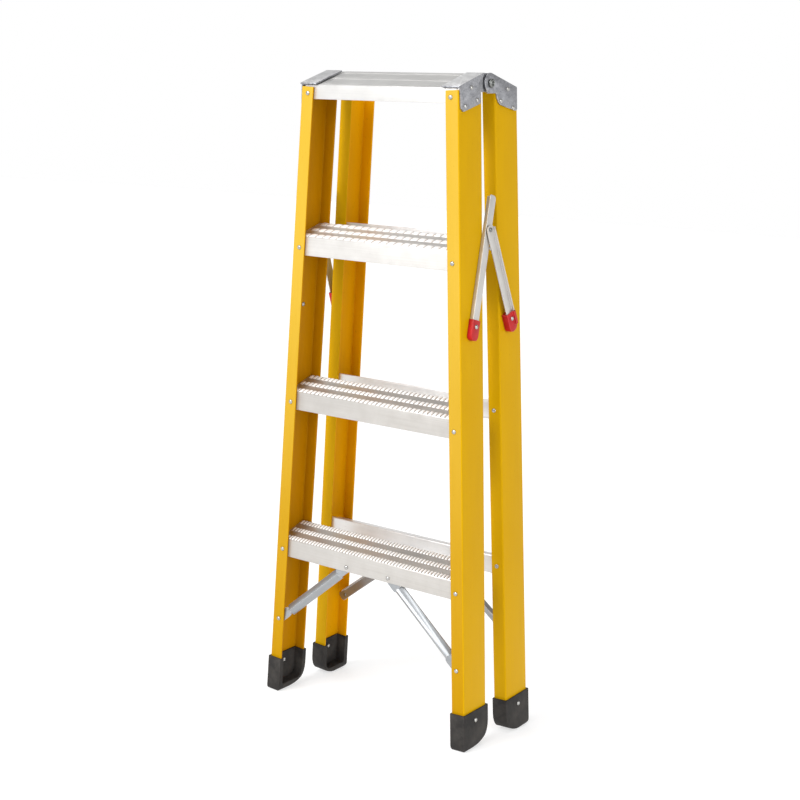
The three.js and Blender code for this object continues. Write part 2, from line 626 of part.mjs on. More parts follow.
for (const side of [-1, 1]) {
  const name = sideName(side);
  const frontSide = railSide(side);
  const rearSide = railSide(side, REAR_SPREAD);
  front.add(frontSide);
  rearFrame.add(rearSide);

  frontSide.add(mesh(`rail_front_${name}`, rail(side, 0), fibreglass));
  frontSide.add(mesh(`boot_front_${name}`, boot(side, BOOT_NOSE.front), rubber));
  frontSide.add(mesh(`hinge_plate_front_${name}`, frontHingePlate(side), galvanised));
  frontSide.add(mesh(`hinge_pin_${name}`, hingePin(side), steel));

  rearSide.add(mesh(`rail_rear_${name}`, rail(side, REAR_EXTRA), fibreglass));
  const rearBoot = mesh(`boot_rear_${name}`, sided(boot(1, BOOT_NOSE.rear).rotateZ(Math.PI), -side), rubber);
  rearBoot.position.set(0, RAIL_DEPTH, -REAR_EXTRA);
  rearSide.add(rearBoot);
  rearSide.add(mesh(`hinge_plate_rear_${name}`, rearHingePlate(side), galvanised));

  const frontBrace = brace(side, FRONT_BRACE.upper, FRONT_BRACE.lower, frontAngle);
  front.add(mesh(`brace_front_${name}`, frontBrace, aluminium));
  const rearBrace = brace(side, REAR_BRACE.upper, REAR_BRACE.lower, rearAngle).rotateZ(Math.PI);
  const rearBraceMesh = mesh(`brace_rear_${sideName(-side)}`, rearBrace, aluminium);
  rearBraceMesh.position.y = RAIL_DEPTH;
  rearFrame.add(rearBraceMesh);

  // Rivets through the front flange hold the steps, the platform and the brace.
  const flangeRivets = {
    step_1: stepLevels[0], step_2: stepLevels[1], step_3: stepLevels[2],
    platform: PLATFORM_RIVET, brace: FRONT_BRACE.lower.z,
  };
  for (const [piece, z] of Object.entries(flangeRivets)) {
    const rivet = mesh(`rivet_${piece}_${name}`, facingFront(rivetHead()), steel);
    rivet.position.set(side * (halfWidth(z) - FLANGE_RIVET_INSET), -GAP, z);
    front.add(rivet);
  }
  const skirtRivet = mesh(`rivet_skirt_${name}`, facingFront(rivetHead()), steel);
  skirtRivet.position.set(side * FRONT_BRACE.upper.x, SKIRT_FRONT - GAP, FRONT_BRACE.upper.z);
  front.add(skirtRivet);

  const frontBootRivet = mesh(`rivet_boot_front_${name}`, sided(facingOut(rivetHead()), side), steel);
  frontBootRivet.position.set(side * (BOOT_WALL + GAP), RAIL_DEPTH / 2 - 2, 52);
  frontSide.add(frontBootRivet);
  const rearBootRivet = mesh(`rivet_boot_rear_${name}`, sided(facingOut(rivetHead()), side), steel);
  rearBootRivet.position.set(side * (BOOT_WALL + GAP), RAIL_DEPTH / 2 + 2, 52 - REAR_EXTRA);
  rearSide.add(rearBootRivet);

  // Folded spreader on the outside of the rails.
  const longTurn = armTurn(MIDDLE.y - MIDDLE.a.y, MIDDLE.s - MIDDLE.a.s);
  const longParts = {
    [`spreader_long_${name}`]: [toGeometry(longArm()), aluminium],
    [`spreader_cap_front_${name}`]: [toGeometry(longCap()), redPlastic],
    [`rivet_spreader_front_${name}`]: [facingOut(rivetHead()).translate(LONG_FACE + 2.2 + GAP, 0, 0), steel],
  };
  for (const [partName, [geometry, look]] of Object.entries(longParts)) {
    const part = mesh(partName, sided(geometry.rotateX(longTurn), side), look);
    part.position.set(0, FRONT_PIVOT.y, alongRail(FRONT_PIVOT.z));
    frontSide.add(part);
  }
  const shortTurn = armTurn(MIDDLE.y - MIDDLE.b.y, MIDDLE.s - MIDDLE.b.s) - REAR_ANGLE;
  const middleRivet = facingOut(rivetHead()).translate(SHORT_FACE + GAP, 0, SHORT_ARM);
  const shortParts = {
    [`spreader_short_${name}`]: [toGeometry(shortArm()), aluminium],
    [`spreader_cap_rear_${name}`]: [toGeometry(shortCap()), redPlastic],
    [`rivet_spreader_rear_${name}`]: [facingOut(rivetHead()).translate(SHORT_FACE + 1.9 + GAP, 0, 0), steel],
    [`rivet_spreader_middle_${name}`]: [middleRivet, steel],
  };
  for (const [partName, [geometry, look]] of Object.entries(shortParts)) {
    const part = mesh(partName, sided(geometry.rotateX(shortTurn), side), look);
    part.position.set(0, REAR_PIVOT.y, alongRail(REAR_PIVOT.z));
    rearSide.add(part);
  }
}

stepLevels.forEach((z, i) => front.add(mesh(`step_${i + 1}`, step(z), aluminium)));
front.add(mesh('platform', platform(), aluminium));
crossbarLevels.forEach((z, i) => rearFrame.add(mesh(`crossbar_${i + 1}`, crossbar(z), aluminium)));

// The folded ladder leans forward by STANCE so that all four boots touch the floor.
const STANCE = THREE.MathUtils.degToRad(4.28);
const stance = new THREE.Group();
stance.rotation.x = STANCE;
stance.add(front, rear);
const ladder = new THREE.Group();
ladder.name = 'platform_step_ladder';
ladder.add(stance);

const box = new THREE.Box3().setFromObject(ladder, true);
stance.position.set(0, -(box.min.y + box.max.y) / 2, -box.min.z);
ladder.updateMatrixWorld(true);

export default ladder;
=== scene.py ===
"""Looks of the platform step ladder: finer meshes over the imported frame, materials, light and camera.

Lengths are in millimetres in the coordinates of each frame or side: x to the right, or out of the web of
a rail, y to the back, z up from the soles. They become metres when a mesh is made.
"""

import json
import math

import bmesh
import bpy
from mathutils import Matrix, Vector


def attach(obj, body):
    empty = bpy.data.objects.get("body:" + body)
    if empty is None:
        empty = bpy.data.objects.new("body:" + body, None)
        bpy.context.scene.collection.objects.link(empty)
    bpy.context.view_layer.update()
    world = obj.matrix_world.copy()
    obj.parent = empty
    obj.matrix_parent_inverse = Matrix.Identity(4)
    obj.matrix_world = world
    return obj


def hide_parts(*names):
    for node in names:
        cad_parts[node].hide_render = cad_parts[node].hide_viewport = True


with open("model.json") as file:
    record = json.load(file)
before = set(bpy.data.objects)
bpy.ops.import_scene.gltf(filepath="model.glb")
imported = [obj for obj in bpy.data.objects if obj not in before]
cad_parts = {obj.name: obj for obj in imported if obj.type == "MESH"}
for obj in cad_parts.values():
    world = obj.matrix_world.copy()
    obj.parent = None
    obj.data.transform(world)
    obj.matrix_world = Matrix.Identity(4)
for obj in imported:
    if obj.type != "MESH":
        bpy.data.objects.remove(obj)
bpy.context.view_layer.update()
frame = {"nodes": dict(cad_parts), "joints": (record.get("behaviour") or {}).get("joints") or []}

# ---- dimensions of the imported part, in millimetres unless stated ------------------------------------
MM = 0.001
LONG_EDGE = 0.15  # metres: longer than any edge but those along a part
SAME_POINT = 1e-5  # metres: vertices this close are one
FLAT_WITHIN = math.radians(0.6)  # faces that turn less than this are one
UP_FACING = 0.8  # normal's z of a face that counts as a top
STANCE = math.radians(4.28)
HINGE = Vector((0, 98.8, 1211.6))
REAR_TOP = Vector((0, 115.9, 1200))
REAR_ANGLE = math.radians(1.33)
HALF_AT_FLOOR = 239.2
REAR_SPREAD = 1.5
RAIL_TOP = 1200
RAIL_BOTTOM = 30
REAR_EXTRA = 15.5
FLARE = math.atan(0.054)
RAIL_DEPTH = 74
RAIL_FLANGE = 27
RAIL_WALL = 4
GAP = 0.3

STEP_RISE = 300
CROSSBAR_RISE = 302.5
CROSSBAR_DROP = 7.5
STEP_TILT = math.radians(18)
SHEET = 1.9
SKIRT_FRONT = RAIL_WALL + GAP
SKIRT_BACK = RAIL_DEPTH - RAIL_WALL - GAP
SKIRT_TOP = 21
SKIRT_BOTTOM = -15
PLATFORM_FRONT = 1201
PLATFORM_BACK = 86
PLATFORM_SKIRT = 26
PLATFORM_BACK_SKIRT = 18
TOP_FLANGE = 37
RIB_INSET = 6.6  # middle of an outer rib from the tread's edge
PLATE_FACE = 3.0  # outer face of a hinge plate from the web
SLOPE = math.tan(STEP_TILT)


def half_width(z):
    """Outer web face of a front rail from the middle of the ladder."""
    return HALF_AT_FLOOR - math.tan(FLARE) * z


# ---- where the frames and their sides are ---------------------------------------------------------
def shift(x, y, z):
    return Matrix.Translation(Vector((x, y, z)) * MM)


def turn(angle, axis):
    return Matrix.Rotation(angle, 4, axis)


fold = next(joint for joint in frame["joints"] if joint["name"] == "frame_fold")
hinge_point = Vector(fold["pos_m"])
FRONT = Matrix.Translation(hinge_point) @ turn(STANCE, "X") @ shift(*-HINGE)
REAR = FRONT @ shift(*REAR_TOP) @ turn(REAR_ANGLE, "X") @ shift(0, 0, -RAIL_TOP)


def side_matrix(base, side, spread=0.0):
    """Coordinates of a side: +x points out of the web on both sides, so the left one is mirrored."""
    lean = FLARE + spread / RAIL_TOP
    mirrored = Matrix.Diagonal((side, 1, 1, 1))
    return base @ shift(side * (HALF_AT_FLOOR + spread), 0, 0) @ turn(-side * lean, "Y") @ mirrored


SIDES = {"left": -1, "right": 1}
FRONT_SIDE = {name: side_matrix(FRONT, side) for name, side in SIDES.items()}
REAR_SIDE = {name: side_matrix(REAR, side, REAR_SPREAD) for name, side in SIDES.items()}


# ---- outlines and meshes --------------------------------------------------------------------------
def rounded(corners, segments=4):
    """Closed outline with a radius at each corner: corners are (a, b) or (a, b, radius)."""
    points = []
    for i, (a, b, *radii) in enumerate(corners):
        here = Vector((a, b))
        radius = radii[0] if radii else 0
        if radius == 0:
            points.append((a, b))
            continue
        before = (Vector(corners[i - 1][:2]) - here).normalized()
        after = (Vector(corners[(i + 1) % len(corners)][:2]) - here).normalized()
        half = before.angle(after) / 2
        centre = here + (before + after).normalized() * radius / math.sin(half)
        start = here + before * radius / math.tan(half) - centre
        end = here + after * radius / math.tan(half) - centre
        first = math.atan2(start.y, start.x)
        sweep = (math.atan2(end.y, end.x) - first + math.pi) % (2 * math.pi) - math.pi
        for k in range(segments + 1):
            angle = first + sweep * k / segments
            points.append((centre.x + radius * math.cos(angle), centre.y + radius * math.sin(angle)))
    return points


def along_x(a, b, t):
    return Vector((t, a, b))


def along_z(a, b, t):
    return Vector((a, b, t))


def prism(bm, outline, start, end, place):
    """Closed solid: the outline pushed from start to end."""
    rings = [[bm.verts.new(place(a, b, t) * MM) for a, b in outline] for t in (start, end)]
    bm.faces.new(rings[0])
    bm.faces.new(rings[1])
    count = len(outline)
    for i in range(count):
        j = (i + 1) % count
        bm.faces.new((rings[0][i], rings[0][j], rings[1][j], rings[1][i]))


def lathe(bm, profile, matrix, segments=28):
    """Closed solid of revolution about local z: the profile is (radius, height), from axis to axis."""
    rings = []
    for radius, height in profile:
        if radius == 0:
            rings.append([bm.verts.new(matrix @ (Vector((0, 0, height)) * MM))])
            continue
        angles = [2 * math.pi * k / segments for k in range(segments)]
        ring = [Vector((radius * math.cos(a), radius * math.sin(a), height)) for a in angles]
        rings.append([bm.verts.new(matrix @ (point * MM)) for point in ring])
    for low, high in zip(rings, rings[1:]):
        for k in range(segments):
            n = (k + 1) % segments
            corners = [low[k % len(low)], low[n % len(low)], high[n % len(high)], high[k % len(high)]]
            bm.faces.new(list(dict.fromkeys(corners)))


def round_edges(bm, width, segments=2, sharper_than=32):
    """Rounds the sharp edges, and marks the rounded faces for wear and painted highlight."""
    bmesh.ops.recalc_face_normals(bm, faces=bm.faces)
    wear_and_highlight = bm.faces.layers.float.get("wear_and_highlight") or bm.faces.layers.float.new("wear_and_highlight")
    limit = math.radians(sharper_than)
    sharp = [e for e in bm.edges if len(e.link_faces) == 2 and e.calc_face_angle(0) > limit]
    rounded_faces = bmesh.ops.bevel(
        bm, geom=sharp, offset=width * MM, offset_type="OFFSET", segments=segments,
        profile=0.5, affect="EDGES", clamp_overlap=True,
    )["faces"]
    for face in rounded_faces:
        face[wear_and_highlight] = 1.0


def piece(name, bm, material, matrix, body, stands_for=(), smooth=40):
    """Makes an object of the mesh, which rides on a body and may stand for CAD nodes.

    The piece keeps its own coordinates in the attribute "place", for its textures.
    """
    place = bm.verts.layers.float_vector.new("place")
    for vert in bm.verts:
        vert[place] = vert.co
    bmesh.ops.transform(bm, matrix=matrix, verts=bm.verts)
    bmesh.ops.recalc_face_normals(bm, faces=bm.faces)
    mesh = bpy.data.meshes.new(name)
    bm.to_mesh(mesh)
    bm.free()
    mesh.shade_smooth()
    mesh.set_sharp_from_angle(angle=math.radians(smooth))
    mesh.materials.append(material)
    made = bpy.data.objects.new(name, mesh)
    bpy.context.scene.collection.objects.link(made)
    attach(made, body)
    if stands_for:
        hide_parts(*stands_for)
    return made


def local_box(node, matrix):
    """Lowest and highest corners of a CAD node in a frame's or side's coordinates, in millimetres."""
    inverse = matrix.inverted()
    points = [inverse @ v.co / MM for v in frame["nodes"][node].data.vertices]
    low = Vector([min(p[i] for p in points) for i in range(3)])
    high = Vector([max(p[i] for p in points) for i in range(3)])
    return low, high


def softened(node, matrix, body, material, width, segments=2, ridge=0.0, top_sheen=0.0):
    """Stands for a CAD node with the same shape, its edges rounded by width.

    A ridge rounds the longest front edge of the outer face more and paints it near white, a painted
    highlight. The top faces may be painted bright, a painted reflection.
    """
    bm = bmesh.new()
    bm.from_mesh(frame["nodes"][node].data)
    bmesh.ops.transform(bm, matrix=matrix.inverted(), verts=bm.verts)
    bmesh.ops.remove_doubles(bm, verts=bm.verts, dist=SAME_POINT)
    bmesh.ops.dissolve_limit(bm, angle_limit=FLAT_WITHIN, verts=bm.verts, edges=bm.edges)
    bmesh.ops.recalc_face_normals(bm, faces=bm.faces)
    wear_and_highlight = bm.faces.layers.float.new("wear_and_highlight")
    # Painted reflection: up-facing faces may be painted bright.
    for face in bm.faces:
        if face.normal.z > UP_FACING:
            face[wear_and_highlight] = top_sheen
    if ridge:
        outermost = max(v.co.x for v in bm.verts) - 0.1 * MM
        long_edges = [
            e for e in bm.edges
            if e.calc_length() > LONG_EDGE and min(v.co.x for v in e.verts) > outermost
        ]
        front_edge = min(long_edges, key=lambda e: e.verts[0].co.y + e.verts[1].co.y)
        rounded_faces = bmesh.ops.bevel(
            bm, geom=[front_edge], offset=ridge * MM, offset_type="OFFSET", segments=5,
            profile=0.5, affect="EDGES", clamp_overlap=True,
        )["faces"]
        # Painted highlight along the rounded ridge.
        for face in rounded_faces:
            face[wear_and_highlight] = 1.0
    round_edges(bm, width, segments)
    return piece(f"{node}_finished", bm, material, matrix, body, (node,))


# ---- materials ------------------------------------------------------------------------------------
def linear(red, green, blue):
    """Scene colour of an 8-bit screen colour."""
    def channel(value):
        value /= 255
        return value / 12.92 if value <= 0.04045 else ((value + 0.055) / 1.055) ** 2.4
    return (channel(red), channel(green), channel(blue), 1.0)


class Surface:
    """A node material under construction."""

    def __init__(self, name, metallic=0.0, specular=0.5):
        self.material = bpy.data.materials.new(name)
        self.material.use_nodes = True
        self.tree = self.material.node_tree
        self.shader = self.tree.nodes["Principled BSDF"]
        self.shader.inputs["Metallic"].default_value = metallic
        self.shader.inputs["Specular IOR Level"].default_value = specular
        self.place = self.attribute("place").outputs["Vector"]
        self.wear_and_highlight = self.attribute("wear_and_highlight").outputs["Fac"]

    def add(self, kind):
        return self.tree.nodes.new(kind)

    def attribute(self, name):
        node = self.add("ShaderNodeAttribute")
        node.attribute_name = name
        return node

    def join(self, source, target):
        self.tree.links.new(source, target)

    def stretched(self, scale):
        mapping = self.add("ShaderNodeMapping")
        mapping.inputs["Scale"].default_value = scale
        self.join(self.place, mapping.inputs["Vector"])
        return mapping.outputs["Vector"]

    def noise(self, scale, detail=3.0, roughness=0.5):
        node = self.add("ShaderNodeTexNoise")
        node.inputs["Scale"].default_value = 1.0
        node.inputs["Detail"].default_value = detail
        node.inputs["Roughness"].default_value = roughness
        self.join(self.stretched(scale), node.inputs["Vector"])
        return node.outputs["Fac"]

    def cells(self, scale):
        node = self.add("ShaderNodeTexVoronoi")
        node.inputs["Scale"].default_value = 1.0
        self.join(self.stretched(scale), node.inputs["Vector"])
        gray = self.add("ShaderNodeSeparateColor")
        self.join(node.outputs["Color"], gray.inputs["Color"])
        return gray.outputs["Red"]

    def span(self, value, low, high, to_low, to_high):
        node = self.add("ShaderNodeMapRange")
        for key, number in zip(("From Min", "From Max", "To Min", "To Max"), (low, high, to_low, to_high)):
            node.inputs[key].default_value = number
        self.join(value, node.inputs["Value"])
        return node.outputs["Result"]

    def math(self, operation, first, second):
        node = self.add("ShaderNodeMath")
        node.operation = operation
        for source, target in ((first, node.inputs[0]), (second, node.inputs[1])):
            if isinstance(source, (int, float)):
                target.default_value = source
            else:
                self.join(source, target)
        return node.outputs["Value"]

    def mix(self, share, first, second):
        node = self.add("ShaderNodeMix")
        node.data_type = "RGBA"
        sockets = {s.identifier: s for s in node.inputs}
        pairs = ((share, "Factor_Float"), (first, "A_Color"), (second, "B_Color"))
        for source, key in pairs:
            if isinstance(source, (int, float, tuple)):
                sockets[key].default_value = source
            else:
                self.join(source, sockets[key])
        return next(s for s in node.outputs if s.identifier == "Result_Color")

    def bump(self, height, distance, strength=1.0, before=None):
        node = self.add("ShaderNodeBump")
        node.inputs["Distance"].default_value = distance * MM
        node.inputs["Strength"].default_value = strength
        self.join(height, node.inputs["Height"])
        if before is not None:
            self.join(before, node.inputs["Normal"])
        return node.outputs["Normal"]

    def finish(self, colour, roughness, normal):
        self.join(colour, self.shader.inputs["Base Color"])
        self.join(roughness, self.shader.inputs["Roughness"])
        self.join(normal, self.shader.inputs["Normal"])
        return self.material


def fibreglass(name, inside_dark, inside_light):
    """Pultruded resin: fine fibres along the rail under a satin skin, with faint rubs on the corners.

    Inside the channel it is darker and more orange, painted shade. The front flanges carry a painted sheen,
    paler at the top, and painted shade towards the bottom.
    """
    s = Surface(name, specular=0.05)
    fibres = s.noise((620, 620, 5), 4.0, 0.62)
    clouds = s.noise((11, 11, 4), 2.0)
    grain = s.noise((1900, 1900, 900), 2.0)
    tone = s.math("ADD", s.span(fibres, 0.3, 0.7, 0.0, 0.4), s.span(clouds, 0.3, 0.7, 0.0, 0.6))
    outside = s.mix(tone, linear(192, 146, 0), linear(202, 157, 2))
    # Painted shade: the inner webs darker and more orange.
    inside = s.mix(tone, linear(*inside_dark), linear(*inside_light))
    # Painted sheen: the front flanges paler and bluer near the top.
    painted_sheen = s.mix(tone, linear(184, 148, 38), linear(194, 158, 58))
    height = s.add("ShaderNodeSeparateXYZ")
    s.join(s.place, height.inputs["Vector"])
    # Painted shade: the front flanges darker towards the bottom.
    painted_low_shade = s.mix(tone, linear(172, 126, 0), linear(182, 136, 2))
    flange = s.mix(s.span(height.outputs["Z"], 0.1, 0.8, 0.0, 1.0), painted_low_shade, painted_sheen)
    colour = s.mix(s.attribute("inside").outputs["Fac"], outside, inside)
    colour = s.mix(s.attribute("flange").outputs["Fac"], colour, flange)
    rubs = s.span(s.noise((90, 90, 14), 3.0), 0.56, 0.66, 0.0, 0.5)
    colour = s.mix(s.math("MULTIPLY", s.wear_and_highlight, rubs), colour, linear(222, 186, 66))
    specks = s.span(s.noise((420, 420, 160), 1.0), 0.70, 0.76, 0.0, 0.35)
    colour = s.mix(specks, colour, linear(164, 116, 3))
    roughness = s.span(fibres, 0.3, 0.7, 0.34, 0.47)
    normal = s.bump(fibres, 0.03, 0.5)
    normal = s.bump(grain, 0.02, 0.5, normal)
    return s.finish(colour, roughness, normal)


def aluminium(name, axis, light, dark):
    """Extruded alloy: die lines along one axis, dull patches, and rounded edges painted near white, partly
    rub wear and partly painted highlight.
    """
    s = Surface(name, metallic=0.7)
    lines_scale = [760, 760, 760]
    lines_scale[axis] = 6
    lines = s.noise(tuple(lines_scale), 3.0, 0.6)
    patches = s.noise((34, 34, 34), 4.0, 0.6)
    tone = s.math("ADD", s.span(lines, 0.3, 0.7, 0.0, 0.5), s.span(patches, 0.3, 0.7, 0.0, 0.5))
    colour = s.mix(tone, linear(*dark), linear(*light))
    # Wear and painted highlight: rounded faces near white.
    colour = s.mix(s.math("MULTIPLY", s.wear_and_highlight, 0.95), colour, linear(254, 254, 253))
    marks = s.span(s.noise((240, 240, 240), 2.0), 0.66, 0.74, 0.0, 0.3)
    colour = s.mix(marks, colour, linear(190, 188, 186))
    roughness = s.math("ADD", s.span(lines, 0.3, 0.7, 0.28, 0.38), s.span(patches, 0.3, 0.7, 0.0, 0.1))
    s.join(s.span(s.wear_and_highlight, 0.0, 1.0, 0.7, 0.25), s.shader.inputs["Metallic"])
    return s.finish(colour, roughness, s.bump(lines, 0.03, 0.6))


def galvanised():
    """Zinc with spangles of different tone, and rounded edges and top flanges painted near white: a painted
    highlight and reflection.
    """
    s = Surface("galvanised_zinc", metallic=0.92)
    spangle = s.cells((150, 150, 150))
    fine = s.cells((420, 420, 420))
    cloud = s.noise((60, 60, 60), 4.0, 0.65)
    tone = s.math("ADD", s.span(spangle, 0.0, 1.0, 0.0, 0.3), s.span(fine, 0.0, 1.0, 0.0, 0.4))
    tone = s.math("ADD", tone, s.span(cloud, 0.3, 0.7, 0.0, 0.3))
    colour = s.mix(tone, linear(116, 117, 122), linear(182, 183, 187))
    # Painted highlight and reflection: rounded edges and bright tops near white.
    colour = s.mix(s.wear_and_highlight, colour, linear(250, 250, 250))
    roughness = s.math("ADD", s.span(spangle, 0.0, 1.0, 0.3, 0.42), s.span(cloud, 0.3, 0.7, 0.0, 0.12))
    return s.finish(colour, roughness, s.bump(cloud, 0.05, 0.4))


def rivet_steel(name, light, dark):
    """Plated steel with fine handling marks."""
    s = Surface(name, metallic=1.0)
    marks = s.noise((500, 500, 500), 3.0)
    colour = s.mix(s.span(marks, 0.35, 0.65, 0.0, 1.0), linear(*dark), linear(*light))
    roughness = s.span(marks, 0.3, 0.7, 0.2, 0.34)
    return s.finish(colour, roughness, s.bump(marks, 0.02, 0.5))


def rubber():
    """Moulded rubber: matt grain, pale dust in the grain and greyed edges."""
    s = Surface("boot_rubber_charcoal", specular=0.22)
    grain = s.noise((900, 900, 900), 3.0, 0.6)
    dust = s.noise((26, 26, 26), 5.0, 0.65)
    colour = s.mix(s.span(dust, 0.4, 0.7, 0.0, 1.0), linear(36, 34, 33), linear(64, 61, 58))
    colour = s.mix(s.math("MULTIPLY", s.wear_and_highlight, 0.3), colour, linear(74, 71, 68))
    roughness = s.span(dust, 0.3, 0.7, 0.55, 0.78)
    return s.finish(colour, roughness, s.bump(grain, 0.12, 0.5))


def red_plastic():
    """Injection-moulded cap: slightly uneven gloss, paler rubbed edges."""
    s = Surface("cap_plastic_red", specular=0.3)
    cloud = s.noise((80, 80, 80), 3.0)
    grain = s.noise((1400, 1400, 1400), 2.0)
    colour = s.mix(s.span(cloud, 0.3, 0.7, 0.0, 1.0), linear(160, 12, 18), linear(186, 22, 26))
    colour = s.mix(s.math("MULTIPLY", s.wear_and_highlight, 0.4), colour, linear(214, 84, 80))
    roughness = s.span(cloud, 0.3, 0.7, 0.36, 0.5)
    return s.finish(colour, roughness, s.bump(grain, 0.03, 0.5))


# The inner tones are painted shade, darker on the front frame than on the rear.
FRONT_YELLOW = fibreglass("fibreglass_yellow_front", (178, 120, 0), (188, 130, 1))
REAR_YELLOW = fibreglass("fibreglass_yellow_rear", (214, 150, 0), (224, 160, 1))
# Tones of these copies hold painted light: the lower treads and the braces are darker, painted shade; the
# crossbars lighter, against the shade of the steps in front.
TREAD = aluminium("mill_aluminium_treads", 0, (222, 220, 217), (206, 203, 199))
PLATFORM = aluminium("mill_aluminium_platform", 0, (218, 217, 215), (206, 205, 203))
CROSSBAR = aluminium("mill_aluminium_crossbars", 0, (234, 233, 232), (220, 219, 218))
LOWER_TREAD = aluminium("mill_aluminium_lower_treads", 0, (198, 195, 191), (181, 177, 172))
ARM = aluminium("mill_aluminium_arms", 2, (206, 203, 199), (188, 185, 181))
BRACE = aluminium("mill_aluminium_braces", 0, (164, 167, 170), (148, 151, 154))
ZINC = galvanised()
STEEL = rivet_steel("rivet_steel_bright", (198, 197, 194), (150, 149, 147))
DULL_STEEL = rivet_steel("rivet_steel_dull", (152, 154, 151), (104, 107, 105))
RUBBER = rubber()
RED = red_plastic()


# ---- rails and boots ------------------------------------------------------------------------------
def rail_section():
    inner = RAIL_WALL
    lip = -RAIL_FLANGE
    return rounded([
        (0, 0, 3), (0, RAIL_DEPTH, 3), (lip, RAIL_DEPTH, 1.3), (lip, RAIL_DEPTH - inner, 1.3),
        (-inner, RAIL_DEPTH - inner, 2), (-inner, inner, 2), (lip, inner, 1.3), (lip, 0, 1.3),
    ], 6)


def rail(name, matrix, body, material, extra, flange_sheen):
    bm = bmesh.new()
    prism(bm, rail_section(), RAIL_BOTTOM - extra, RAIL_TOP, along_z)
    round_edges(bm, 0.6, 2, 50)
    inside = bm.faces.layers.float.new("inside")
    flange = bm.faces.layers.float.new("flange")
    # Flange faces take the painted sheen and shade in the share given; faces inside the channel take
    # painted shade.
    for face in bm.faces:
        x, y, _ = face.calc_center_median() / MM
        face[flange] = flange_sheen if y < 0.5 or y > RAIL_DEPTH - 0.5 else 0.0
        face[inside] = float(x < -1.5 and 1 < y < RAIL_DEPTH - 1)
    piece(f"{name}_finished", bm, material, matrix, body, (name,))


for side_name in SIDES:
    rail(f"rail_front_{side_name}", FRONT_SIDE[side_name], "front_frame", FRONT_YELLOW, 0, 1.0)
    rail(f"rail_rear_{side_name}", REAR_SIDE[side_name], "rear_frame", REAR_YELLOW, REAR_EXTRA, 0.0)
    softened(f"boot_front_{side_name}", FRONT_SIDE[side_name], "front_frame", RUBBER, 1.0, 3)
    softened(f"boot_rear_{side_name}", REAR_SIDE[side_name], "rear_frame", RUBBER, 1.0, 3)


# ---- treads, platform and crossbars ---------------------------------------------------------------
def tread_section(front, back, front_top, front_bottom, back_bottom):
    rise = SLOPE * (back - front)
    drop = SHEET / math.cos(STEP_TILT)
    under = SLOPE * SHEET - drop
    return rounded([
        (front, front_bottom, 0.7), (front + SHEET, front_bottom, 0.7),
        (front + SHEET, front_top + under), (back - SHEET, front_top + rise - SLOPE * SHEET - drop),
        (back - SHEET, back_bottom, 0.7), (back, back_bottom, 0.7),
        (back, front_top + rise, 1.4), (front, front_top, 1.6),
    ], 4)


TOOTH_ACROSS = [
    (-6, -0.6), (-6, 0.5), (-5.2, 1.15), (-3.6, 1.62), (-1.5, 1.8),
    (3.5, 1.8), (5.3, 1.3), (6, 0.5), (6, -0.6),
]
RIB_STRIP = [(-5.8, -0.7), (-5.8, 0.15), (5.8, 0.15), (5.8, -0.7)]
TOOTH_ALONG = [(0.0, 0.25), (0.12, 0.8), (0.26, 1.0), (0.74, 1.0), (0.88, 0.8), (1.0, 0.25)]


def serrated_rib(bm, half, y, z, pitch, tooth, height, rubbed):
    """A row of rounded teeth on a low strip, laid on the tread's slope. The teeth may be rubbed bright."""
    wear_and_highlight = bm.faces.layers.float["wear_and_highlight"]
    base = shift(0, y, z) @ turn(STEP_TILT, "X")

    def put(a, b, t):
        return (base @ (Vector((t, a, b)) * MM)) / MM

    prism(bm, RIB_STRIP, -half, half, put)
    count = int((2 * half - 2) / pitch)
    start = (-count / 2 + (1 - tooth) / 2) * pitch
    for k in range(count):
        x0 = start + k * pitch
        rings = []
        for share, rise in TOOTH_ALONG:
            across = [(a, b * rise * height if b > 0 else b) for a, b in TOOTH_ACROSS]
            rings.append([bm.verts.new(put(a, b, x0 + share * tooth * pitch) * MM) for a, b in across])
        faces = [bm.faces.new(rings[0]), bm.faces.new(rings[-1])]
        for low, high in zip(rings, rings[1:]):
            for i in range(len(low)):
                j = (i + 1) % len(low)
                faces.append(bm.faces.new((low[i], low[j], high[j], high[i])))
        for face in faces:
            face[wear_and_highlight] = rubbed


def tread(name, half, rib_half, front, back, front_top, front_bottom, back_bottom, teeth, material):
    bm = bmesh.new()
    prism(bm, tread_section(front, back, front_top, front_bottom, back_bottom), -half, half, along_x)
    round_edges(bm, 0.35, 2, 50)
    for y in (front + RIB_INSET, (front + back) / 2, back - RIB_INSET):
        serrated_rib(bm, rib_half, y, front_top + SLOPE * (y - front), *teeth)
    piece(f"{name}_finished", bm, material, FRONT, "front_frame", (name,), 50)


INNER_RISE = SLOPE * (SKIRT_BACK - SKIRT_FRONT)


def channel_half(top):
    return half_width(top) - RAIL_WALL - 1.5


# Pitch, share of it that a tooth takes, height as a share of the full tooth, and how much it is rubbed.
TEETH = {1: (7.2, 0.56, 1.0, 1.0), 2: (9.8, 0.7, 1.0, 1.0), 3: (16.6, 0.82, 1.0, 1.0)}
PLATFORM_TEETH = (4.2, 0.7, 0.4, 0.1)

